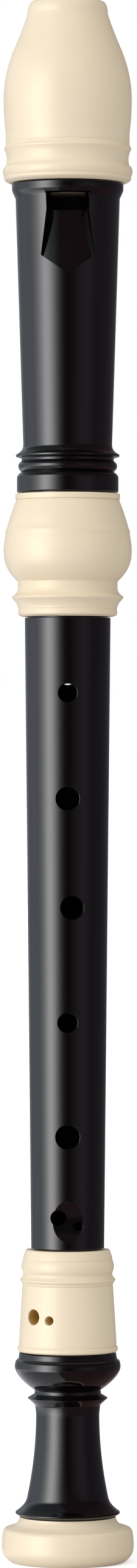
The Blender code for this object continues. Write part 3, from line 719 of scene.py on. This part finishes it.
headSocket = {
    "footRadius": 13.8, "lipRadius": 14.9, "lipEdge": 0.6, "lipRise": 1.4, "grooveDepth": 0.15,
    "lipGrooveRise": 0.25, "flareRadius": 17.1, "flareRise": 3.4, "flarePower": 1.7, "flareRounding": 0.7,
    "neckRadius": 15.15, "neckRise": 2.1, "neckGrooveRise": 0.2, "bandRise": 2.4,
    "radius": 19.3, "swellRise": 9.6, "swellPower": 2.5, "topRadius": 15.5, "topPower": 1.6,
    "ridgeRise": 5.6, "ridgeProud": 0.26, "ridgeHalf": 0.55, "ridgePower": 4,
    "collarRadius": 15.75, "collarGrooveRise": 0.1, "collarRise": 1.7, "mouthRounding": 0.4,
}


def makeHeadSocket():
    size = headSocket
    base = lowest("head_socket")
    groove = size["grooveDepth"]
    outer = Outline(size["footRadius"], 0.0, softEdge)
    outer.line(size["lipRadius"], size["lipEdge"], easedEdge)
    outer.line(size["lipRadius"], size["lipRise"], mildEdge)
    outer.line(size["lipRadius"] - groove, size["lipGrooveRise"], crispEdge)
    outer.line(size["lipRadius"], size["lipGrooveRise"], crispEdge)
    outer.spread(size["flareRadius"], size["flareRise"], size["flarePower"], size["flareRounding"])
    outer.settle(size["neckRadius"], size["neckRise"], rounding=crispEdge)
    outer.line(size["neckRadius"] - groove, size["neckGrooveRise"], crispEdge)
    outer.line(size["neckRadius"] - groove, size["bandRise"], easedEdge)
    swellBase = outer.height
    outer.settle(size["radius"], size["swellRise"], size["swellPower"])
    topHeight = highest("head_socket") - base
    topRise = topHeight - outer.height - size["collarRise"] - 2 * size["collarGrooveRise"]
    outer.spread(size["topRadius"], topRise, size["topPower"], crispEdge)
    for point in outer.points:     # a fine raised ring round the upper swell
        above = point[1] - swellBase - size["swellRise"] - size["ridgeRise"]
        point[0] += size["ridgeProud"] * math.exp(-(above / size["ridgeHalf"]) ** size["ridgePower"])
    outer.line(size["topRadius"] - groove, size["collarGrooveRise"], crispEdge)
    outer.line(size["collarRadius"], size["collarGrooveRise"], crispEdge)
    outer.line(size["collarRadius"], size["collarRise"], softEdge)
    seatHeight = highest("middle_body") + tenon["endGap"] - base
    inner = Outline(tenon["topRadius"] + jointFit, 0.0, size["mouthRounding"])
    inner.line(tenon["topRadius"] + jointFit, seatHeight)
    inner.line(tenon["bulbSpigot"] + seam)
    inner.line(tenon["bulbSpigot"] + seam, outer.height - seatHeight)
    polish(addPiece(
        turnedShape(outer, inner, base), "turned_head_socket", "head_socket", "head", ivory))


headBody = {
    "collarRadius": 15.3, "collarEdge": 0.4, "collarRise": 4.1, "grooveRadius": 13.9, "grooveRise": 1.8,
    "beadRadius": 14.9, "beadRise": 1.8, "beadDrop": 1.5, "slotRise": 0.8,
    "edgeRadius": 15.6, "edgeRise": 0.5, "edgeBand": 0.6, "edgeRounding": 0.12,
    "neckRadius": 13.4, "neckRise": 3.4, "neckPower": 3.0, "topRadius": 15.7, "taperRise": 73.7,
    "rimRadius": 16.8, "rimChamfer": 2.4, "rimRise": 2.0, "rimRounding": 0.6,
}
window = {
    "topRise": 1.1, "mouthHeight": 5.3, "labiumThickness": 0.5, "rampSlope": 13.7, "archRadius": 19.0,
    "mouthWidth": 9.8, "mouthShift": 0.3, "edgeWidth": 11.4, "cornerWidth": 15.8, "cornerDrop": 13.7,
    "pointDrop": 5.6, "pointRise": 0.02, "wallDraft": 8.0, "frontReach": 1.3,
    "floorSteps": 28, "levelPitch": 0.4, "windwayHeight": 1.3, "windwaySlope": 1.75, "windwaySteps": 28,
    "windwayExcess": 12.0,
}


def blockBore(height, windowTop):
    return bore["head"] - (height - windowTop) * math.tan(math.radians(window["windwaySlope"]))


def rampHalfWidth(height, labium):
    edge = window["edgeWidth"] / 2
    corner = window["cornerWidth"] / 2
    drop = labium - height
    if drop <= 0:
        return edge
    if drop <= window["cornerDrop"]:
        return edge + (corner - edge) * drop / window["cornerDrop"]
    return corner * (window["cornerDrop"] + window["pointDrop"] - drop) / window["pointDrop"]


def rampCutter(windowTop):
    # arched like the tube and leaning out of it downward; the side walls lean away and meet in a point
    labium = windowTop - window["mouthHeight"]
    point = labium - window["cornerDrop"] - window["pointDrop"]
    front = window["frontReach"] * headBody["topRadius"]
    slope = math.tan(math.radians(window["rampSlope"]))
    draft = math.tan(math.radians(window["wallDraft"]))
    arch = window["archRadius"]
    steps = window["floorSteps"]
    lowEnd = point + window["pointRise"]
    levels = {windowTop, labium, labium - window["cornerDrop"], lowEnd}
    count = round((windowTop - point) / window["levelPitch"])
    levels |= {windowTop + (lowEnd - windowTop) * step / count for step in range(1, count)}
    shape = bmesh.new()
    rows = []
    for height in sorted(levels):
        half = rampHalfWidth(height, labium)
        crown = bore["head"] + window["labiumThickness"] + (labium - height) * slope
        floor = [half * (2 * step / steps - 1) for step in range(steps + 1)]
        places = [(across, crown - arch + math.sqrt(arch ** 2 - across ** 2)) for across in floor]
        wide = half + (front - places[0][1]) * draft
        places = [(-wide, front)] + places + [(wide, front)]
        rows.append([
            shape.verts.new((across * mm, -depth * mm, height * mm)) for across, depth in places])
    for lower, upper in zip(rows, rows[1:]):
        for index in range(-1, len(lower) - 1):
            shape.faces.new((lower[index], lower[index + 1], upper[index + 1], upper[index]))
    shape.faces.new(rows[0])
    shape.faces.new(rows[-1])
    return shape


def mouthCutter(windowTop):
    shape = bmesh.new()
    bmesh.ops.create_cube(shape, size=mm)
    reach = headBody["topRadius"]
    bmesh.ops.scale(shape, verts=shape.verts, vec=(window["mouthWidth"], reach, window["mouthHeight"]))
    middleHeight = windowTop - window["mouthHeight"] / 2
    bmesh.ops.translate(
        shape, verts=shape.verts, vec=(window["mouthShift"] * mm, -reach * mm, middleHeight * mm))
    return shape


def windwayCutter(windowTop, tip):
    # an upright strip is spun into an arched slit, which then leans in towards the tip
    middleRadius = bore["head"] + window["labiumThickness"] / 2
    half = window["windwayHeight"] / 2
    start = windowTop - window["mouthHeight"] / 2
    length = tip - start + window["windwayExcess"]
    halfAngle = math.asin(window["mouthWidth"] / 2 / middleRadius)
    shape = bmesh.new()
    corners = [(-half, 0), (half, 0), (half, length), (-half, length)]
    strip = shape.faces.new([
        shape.verts.new((0, -(middleRadius + out) * mm, rise * mm)) for out, rise in corners])
    turned(shape, -math.degrees(halfAngle), "Z")
    bmesh.ops.spin(
        shape, geom=[strip], cent=(0, 0, 0), axis=(0, 0, 1), angle=2 * halfAngle,
        steps=window["windwaySteps"], use_duplicate=False)
    bmesh.ops.remove_doubles(shape, verts=shape.verts, dist=weldDistance * mm)
    lean = Matrix.Rotation(-math.radians(window["windwaySlope"]), 3, "X")
    bmesh.ops.rotate(shape, verts=shape.verts, cent=(0, -middleRadius * mm, 0), matrix=lean)
    bmesh.ops.translate(shape, verts=shape.verts, vec=(0, 0, start * mm))
    return shape


def makeHeadBody():
    size = headBody
    base = highest("head_socket") + seam
    outer = Outline(tenon["bulbSpigot"], lowest("head_body") - base, easedEdge)
    outer.line(tenon["bulbSpigot"], base - lowest("head_body"))
    outer.line(size["collarRadius"] - size["collarEdge"])
    outer.line(size["collarRadius"], size["collarEdge"], crispEdge)
    outer.line(size["collarRadius"], size["collarRise"], easedEdge)
    outer.spread(size["grooveRadius"], size["grooveRise"])
    outer.settle(size["beadRadius"], size["beadRise"])
    outer.spread(size["grooveRadius"], size["beadDrop"], rounding=crispEdge)
    outer.line(size["grooveRadius"], size["slotRise"], softEdge)
    outer.line(size["edgeRadius"], size["edgeRise"], size["edgeRounding"])
    outer.line(size["edgeRadius"], size["edgeBand"], size["edgeRounding"])
    outer.settle(size["neckRadius"], size["neckRise"], size["neckPower"])
    taperBase = base + outer.height
    outer.line(size["topRadius"], size["taperRise"], pitch=wallPitch)
    windowTop = base + outer.height + window["topRise"]
    outer.line(size["rimRadius"], size["rimChamfer"], size["rimRounding"])
    outer.line(size["rimRadius"], size["rimRise"], easedEdge)
    outer.line(tenon["capSpigot"])
    outer.line(tenon["capSpigot"], highest("head_body") - base - outer.height, easedEdge)
    inner = Outline(bore["head"], lowest("head_body") - base, easedEdge)
    inner.line(bore["head"], windowTop - base - inner.height, pitch=borePitch)
    inner.line(blockBore(highest("head_body"), windowTop), outer.height - inner.height)
    piece = addPiece(
        turnedShape(outer, inner, base), "turned_head_body", "head_body", "head", black)
    tip = highest("beak_cap")
    carve(piece, [rampCutter(windowTop), mouthCutter(windowTop), windwayCutter(windowTop, tip)])
    lean = (size["topRadius"] - size["neckRadius"]) / size["taperRise"]
    polish(piece, [coneNormals(taperBase, taperBase + size["taperRise"], lean)])
    return windowTop


beakCap = {
    "footRadius": 17.6, "lipRadius": 19.15, "lipRise": 0.9, "lipRounding": 0.5, "lipBand": 0.7,
    "grooveDepth": 0.15, "lipGrooveRise": 0.2, "flangeRadius": 19.55, "flangeRise": 1.5,
    "browRadius": 19.2, "browRise": 1.3, "creaseRadius": 18.55, "creaseRise": 0.5,
    "grooveRadius": 18.3, "grooveRise": 1.5, "grooveRounding": 0.5,
    "beadRadius": 19.15, "beadRise": 3.4, "beadPower": 2.2, "beadEdge": 0.4,
    "bandRadius": 18.65, "bandEdge": 1.1, "bandGrooveRise": 0.2, "bandFoot": 0.3, "bandRise": 2.8,
    "swellRadius": 19.3, "swellRise": 10.3, "shoulderRadius": 16.3, "shoulderRise": 14.7,
    "tipRadius": 12.1, "tipRise": 11.2, "tipPower": 1.15, "roundWidth": 1.6, "borePitch": 2.0,
    "thickness": 11.6, "cutDrop": 32.0, "cutLean": 10.0, "cutSteps": 480, "cutSpan": 2.4,
}


def beakCutter(tip):
    # a large cylinder across the beak, whose lower front part hollows its back
    size = beakCap
    lean = math.radians(size["cutLean"])
    tipDepth = size["thickness"] - size["tipRadius"]
    reach = size["swellRadius"] - tipDepth
    drop = size["cutDrop"]
    radius = (reach ** 2 + drop ** 2) / 2 / (reach * math.cos(lean) - drop * math.sin(lean))
    shape = bmesh.new()
    bmesh.ops.create_cone(
        shape, cap_ends=True, segments=size["cutSteps"], radius1=radius * mm, radius2=radius * mm,
        depth=size["cutSpan"] * size["swellRadius"] * mm)
    turned(shape, 90, "Y")
    centre = (0, (tipDepth + radius * math.cos(lean)) * mm, (tip + radius * math.sin(lean)) * mm)
    bmesh.ops.translate(shape, verts=shape.verts, vec=centre)
    return shape


def makeBeakCap(windowTop):
    size = beakCap
    base = lowest("beak_cap")
    tip = highest("beak_cap")
    groove = size["grooveDepth"]
    outer = Outline(size["footRadius"], 0.0, softEdge)
    outer.line(size["lipRadius"], size["lipRise"], size["lipRounding"])
    outer.line(size["lipRadius"], size["lipBand"], mildEdge)
    outer.line(size["lipRadius"] - groove, size["lipGrooveRise"], crispEdge)
    outer.line(size["lipRadius"], size["lipGrooveRise"], crispEdge)
    outer.settle(size["flangeRadius"], size["flangeRise"])
    outer.spread(size["browRadius"], size["browRise"])
    outer.line(size["creaseRadius"], size["creaseRise"], fineEdge)
    outer.line(size["grooveRadius"], size["grooveRise"], size["grooveRounding"])
    outer.spread(size["beadRadius"], size["beadRise"], size["beadPower"], fineEdge)
    outer.line(size["beadRadius"], size["beadEdge"], softEdge)
    outer.settle(size["bandRadius"], size["bandEdge"], rounding=crispEdge)
    outer.line(size["bandRadius"] - groove, size["bandGrooveRise"], crispEdge)
    outer.line(size["bandRadius"], size["bandFoot"], softEdge)
    outer.line(size["bandRadius"], size["bandRise"], easedEdge)
    outer.settle(size["swellRadius"], size["swellRise"])
    outer.spread(size["shoulderRadius"], size["shoulderRise"])
    outer.settle(size["tipRadius"], size["tipRise"], size["tipPower"])
    outer.crown(size["tipRadius"] - size["roundWidth"], tip - base - outer.height)
    seat = highest("head_body") + seam - base
    inner = Outline(tenon["capSpigot"] + seam)
    inner.line(tenon["capSpigot"] + seam, seat)
    inner.line(blockBore(base + seat, windowTop))
    inner.line(blockBore(tip, windowTop), outer.height - seat, pitch=size["borePitch"])
    piece = addPiece(
        turnedShape(outer, inner, base), "turned_beak_cap", "beak_cap", "head", ivory)
    carve(piece, [beakCutter(tip), windwayCutter(windowTop, tip)])
    polish(piece)


def makeBlock(windowTop):
    tip = highest("beak_cap")
    base = windowTop + seam
    length = tip - seam - base
    shape = bmesh.new()
    bmesh.ops.create_cone(
        shape, cap_ends=True, segments=turnSteps, radius1=(blockBore(base, windowTop) - seam) * mm,
        radius2=(blockBore(base + length, windowTop) - seam) * mm, depth=length * mm)
    bmesh.ops.translate(shape, verts=shape.verts, vec=(0, 0, (base + length / 2) * mm))
    piece = addPiece(shape, "fipple_block", "block", "head", ivory)
    carve(piece, [beakCutter(tip), windwayCutter(windowTop, tip)])
    polish(piece)


makeFootRing()
makeFootBell()
makeFootSocket()
makeSeal("lower_seal_ring", "lower_tenon_seal", "lower_seal")
makeMiddleBody()
makeSeal("upper_seal_ring", "upper_tenon_seal", "upper_seal")
makeHeadSocket()
windowTop = makeHeadBody()
makeBlock(windowTop)
makeBeakCap(windowTop)
print("pieces turned and cut")

stage = {
    "floorSize": 120.0, "floorColour": (0.80, 0.80, 0.80, 1), "floorGlow": 0.46, "skyForShade": 0.745,
    "keyStrength": 1.85, "keyColour": (0.93, 0.985, 1.12), "keyAzimuth": -45.0, "keyElevation": 16.0,
    "keyAngle": 50.0,
}


def seenWhite(nodes):
    # 1 where a camera, mirror or glass ray looks, 0 where light is gathered for shading
    camera = nodes.add("ShaderNodeLightPath", output=0)
    glossy = nodes.add("ShaderNodeLightPath", output=3)
    through = nodes.add("ShaderNodeLightPath", output=6)
    return nodes.add("ShaderNodeMath", {"operation": "MINIMUM"}, {0: camera + glossy + through, 1: 1.0})


def makeWorld():
    world = bpy.data.worlds.new("studio")
    bpy.context.scene.world = world
    nodes = Nodes(world)
    shade = stage["skyForShade"]
    background = nodes.tree.nodes["Background"]
    nodes.plug(background.inputs["Color"], (1, 1, 1, 1))
    nodes.plug(background.inputs["Strength"], shade + seenWhite(nodes) * (1.0 - shade))


def makeFloor():
    shape = bmesh.new()
    bmesh.ops.create_grid(shape, x_segments=1, y_segments=1, size=stage["floorSize"] / 2)
    floor = asObject(shape, "floor")
    material, nodes, shader = surface("paleFloor")
    nodes.plug(shader.inputs["Base Color"], stage["floorColour"])
    nodes.plug(shader.inputs["Roughness"], 1.0)
    nodes.plug(shader.inputs["Specular IOR Level"], 0.0)
    nodes.plug(shader.inputs["Emission Color"], (1, 1, 1, 1))
    nodes.plug(shader.inputs["Emission Strength"], seenWhite(nodes) * stage["floorGlow"])
    material.cycles.emission_sampling = "NONE"
    floor.data.materials.append(material)
    floor.visible_glossy = False     # the gloss mirrors the dome below the horizon too


# What the gloss mirrors: softboxes and dark flags on a dome. Azimuths are degrees from the front,
# to the right; spans and the horizon are degrees of height.
dome = {
    "radius": 5.0, "segments": 64, "rings": 32,
    "softbox": {"azimuth": -52.0, "width": 15.5, "strength": 7.0, "colour": (1.0, 0.98, 1.0, 1)},
    "sideCard": {"start": -62.0, "full": -86.0, "strength": 1.15, "colour": (0.92, 1.0, 1.12, 1)},
    "sideFade": {"start": -95.0, "full": -145.0, "share": 0.65},
    "rightCard": {"start": -8.0, "full": 45.0, "strength": 0.27, "colour": (0.98, 0.9, 1.08, 1)},
    "rightFade": {"start": 47.0, "full": 75.0, "share": 0.5},
    "backCard": {"start": 150.0, "full": 180.0, "strength": 0.26, "colour": (0.94, 0.96, 1.08, 1)},
    "tallSpan": (14.0, 35.0), "lowSpan": (9.0, 19.0), "leftEdge": (-29.0, -15.0), "horizon": (-4.0, 4.0),
    "above": ((0.25, 0.30, 0.31, 1), (0.115, 0.07, 0.075, 1)),     # left and right of the front
    "below": ((0.85, 0.84, 0.90, 1), (0.20, 0.11, 0.12, 1)),
}


def makeDome():
    shape = bmesh.new()
    bmesh.ops.create_uvsphere(
        shape, u_segments=dome["segments"], v_segments=dome["rings"], radius=dome["radius"])
    cards = asObject(shape, "studioDome")
    cards.location.z = (cadBox[0].z + cadBox[1].z) / 2
    for ray in ("camera", "diffuse", "transmission", "volume_scatter", "shadow"):
        setattr(cards, "visible_" + ray, False)
    material = bpy.data.materials.new("studioCards")
    nodes = Nodes(material)
    nodes.tree.nodes.remove(nodes.tree.nodes["Principled BSDF"])
    place = nodes.objectPlace()
    ahead = 0.0 - nodes.part(place, 1)
    azimuth = nodes.add("ShaderNodeMath", {"operation": "ARCTAN2"}, {0: nodes.part(place, 0), 1: ahead})
    azimuth = azimuth * math.degrees(1)
    elevation = nodes.function("ARCSINE", nodes.part(place, 2) / dome["radius"]) * math.degrees(1)
    steepness = nodes.function("ABSOLUTE", elevation)

    def ramp(part):
        return nodes.between(azimuth * math.copysign(1, part["full"]), abs(part["start"]), abs(part["full"]))

    def shine(card, share):
        return nodes.add(
            "ShaderNodeEmission", {}, {"Color": card["colour"], "Strength": share * card["strength"]})

    softbox = dome["softbox"]
    right = dome["rightCard"]
    back = dome["backCard"]
    offset = (azimuth - softbox["azimuth"]) / softbox["width"]
    bell = nodes.function("EXPONENT", offset * offset * -0.5)
    tall = 1.0 - nodes.between(steepness, *dome["tallSpan"])
    low = 1.0 - nodes.between(steepness, *dome["lowSpan"])
    rightRise = nodes.between(azimuth, right["start"], right["full"])
    behind = nodes.between(nodes.function("ABSOLUTE", azimuth), back["start"], back["full"])
    front = 1.0 - behind     # left and right fade into one card at the back
    sideGlow = ramp(dome["sideCard"]) * (1.0 - dome["sideFade"]["share"] * ramp(dome["sideFade"]))
    rightGlow = rightRise * (1.0 - dome["rightFade"]["share"] * ramp(dome["rightFade"]))
    turn = 0.5 + (nodes.between(azimuth, *dome["leftEdge"]) - 0.5) * front
    ceiling = nodes.mixed(turn, *dome["above"])
    ground = nodes.mixed(turn, *dome["below"])
    room = nodes.mixed(nodes.between(elevation, *dome["horizon"]), ground, ceiling)
    lights = [
        shine(softbox, bell * tall),
        shine(dome["sideCard"], sideGlow * tall * front),
        shine(right, rightGlow * low * front),
        shine(back, behind * low),
        shine({"colour": room, "strength": 1.0}, 1.0 - low),
    ]
    total = lights[0]
    for light in lights[1:]:
        total = nodes.add("ShaderNodeAddShader", {}, {0: total, 1: light})
    nodes.plug(nodes.tree.nodes["Material Output"].inputs["Surface"], total)
    material.cycles.emission_sampling = "NONE"
    cards.data.materials.append(material)


def makeKeyLight():
    data = bpy.data.lights.new("keyLight", "SUN")
    data.energy = stage["keyStrength"]
    data.color = stage["keyColour"]
    data.angle = math.radians(stage["keyAngle"])
    key = linked("keyLight", data)
    azimuth = math.radians(stage["keyAzimuth"])
    elevation = math.radians(stage["keyElevation"])
    level = math.cos(elevation)
    towards = Vector((math.sin(azimuth) * level, -math.cos(azimuth) * level, math.sin(elevation)))
    key.rotation_euler = towards.to_track_quat("Z", "Y").to_euler()
    key.visible_glossy = False


# The angle that the photograph was taken from; lengths in mm, clips in metres
photoCamera = {
    "across": 0.24, "distance": 1940.0, "height": 234.3, "lens": 147.8, "sensor": 36.0, "clip": (0.05, 500.0),
}


def makeCamera():
    data = bpy.data.cameras.new("photoCamera")
    data.lens = photoCamera["lens"]
    data.sensor_width = photoCamera["sensor"]
    data.clip_start, data.clip_end = photoCamera["clip"]
    camera = linked("photoCamera", data)
    camera.location = Vector((photoCamera["across"], -photoCamera["distance"], photoCamera["height"])) * mm
    camera.rotation_euler = (math.pi / 2, 0, 0)
    bpy.context.scene.camera = camera


makeWorld()
makeFloor()
makeDome()
makeKeyLight()
makeCamera()
bpy.context.scene.view_settings.view_transform = "Standard"
print("stage, light and camera set")

bpy.context.view_layer.update()
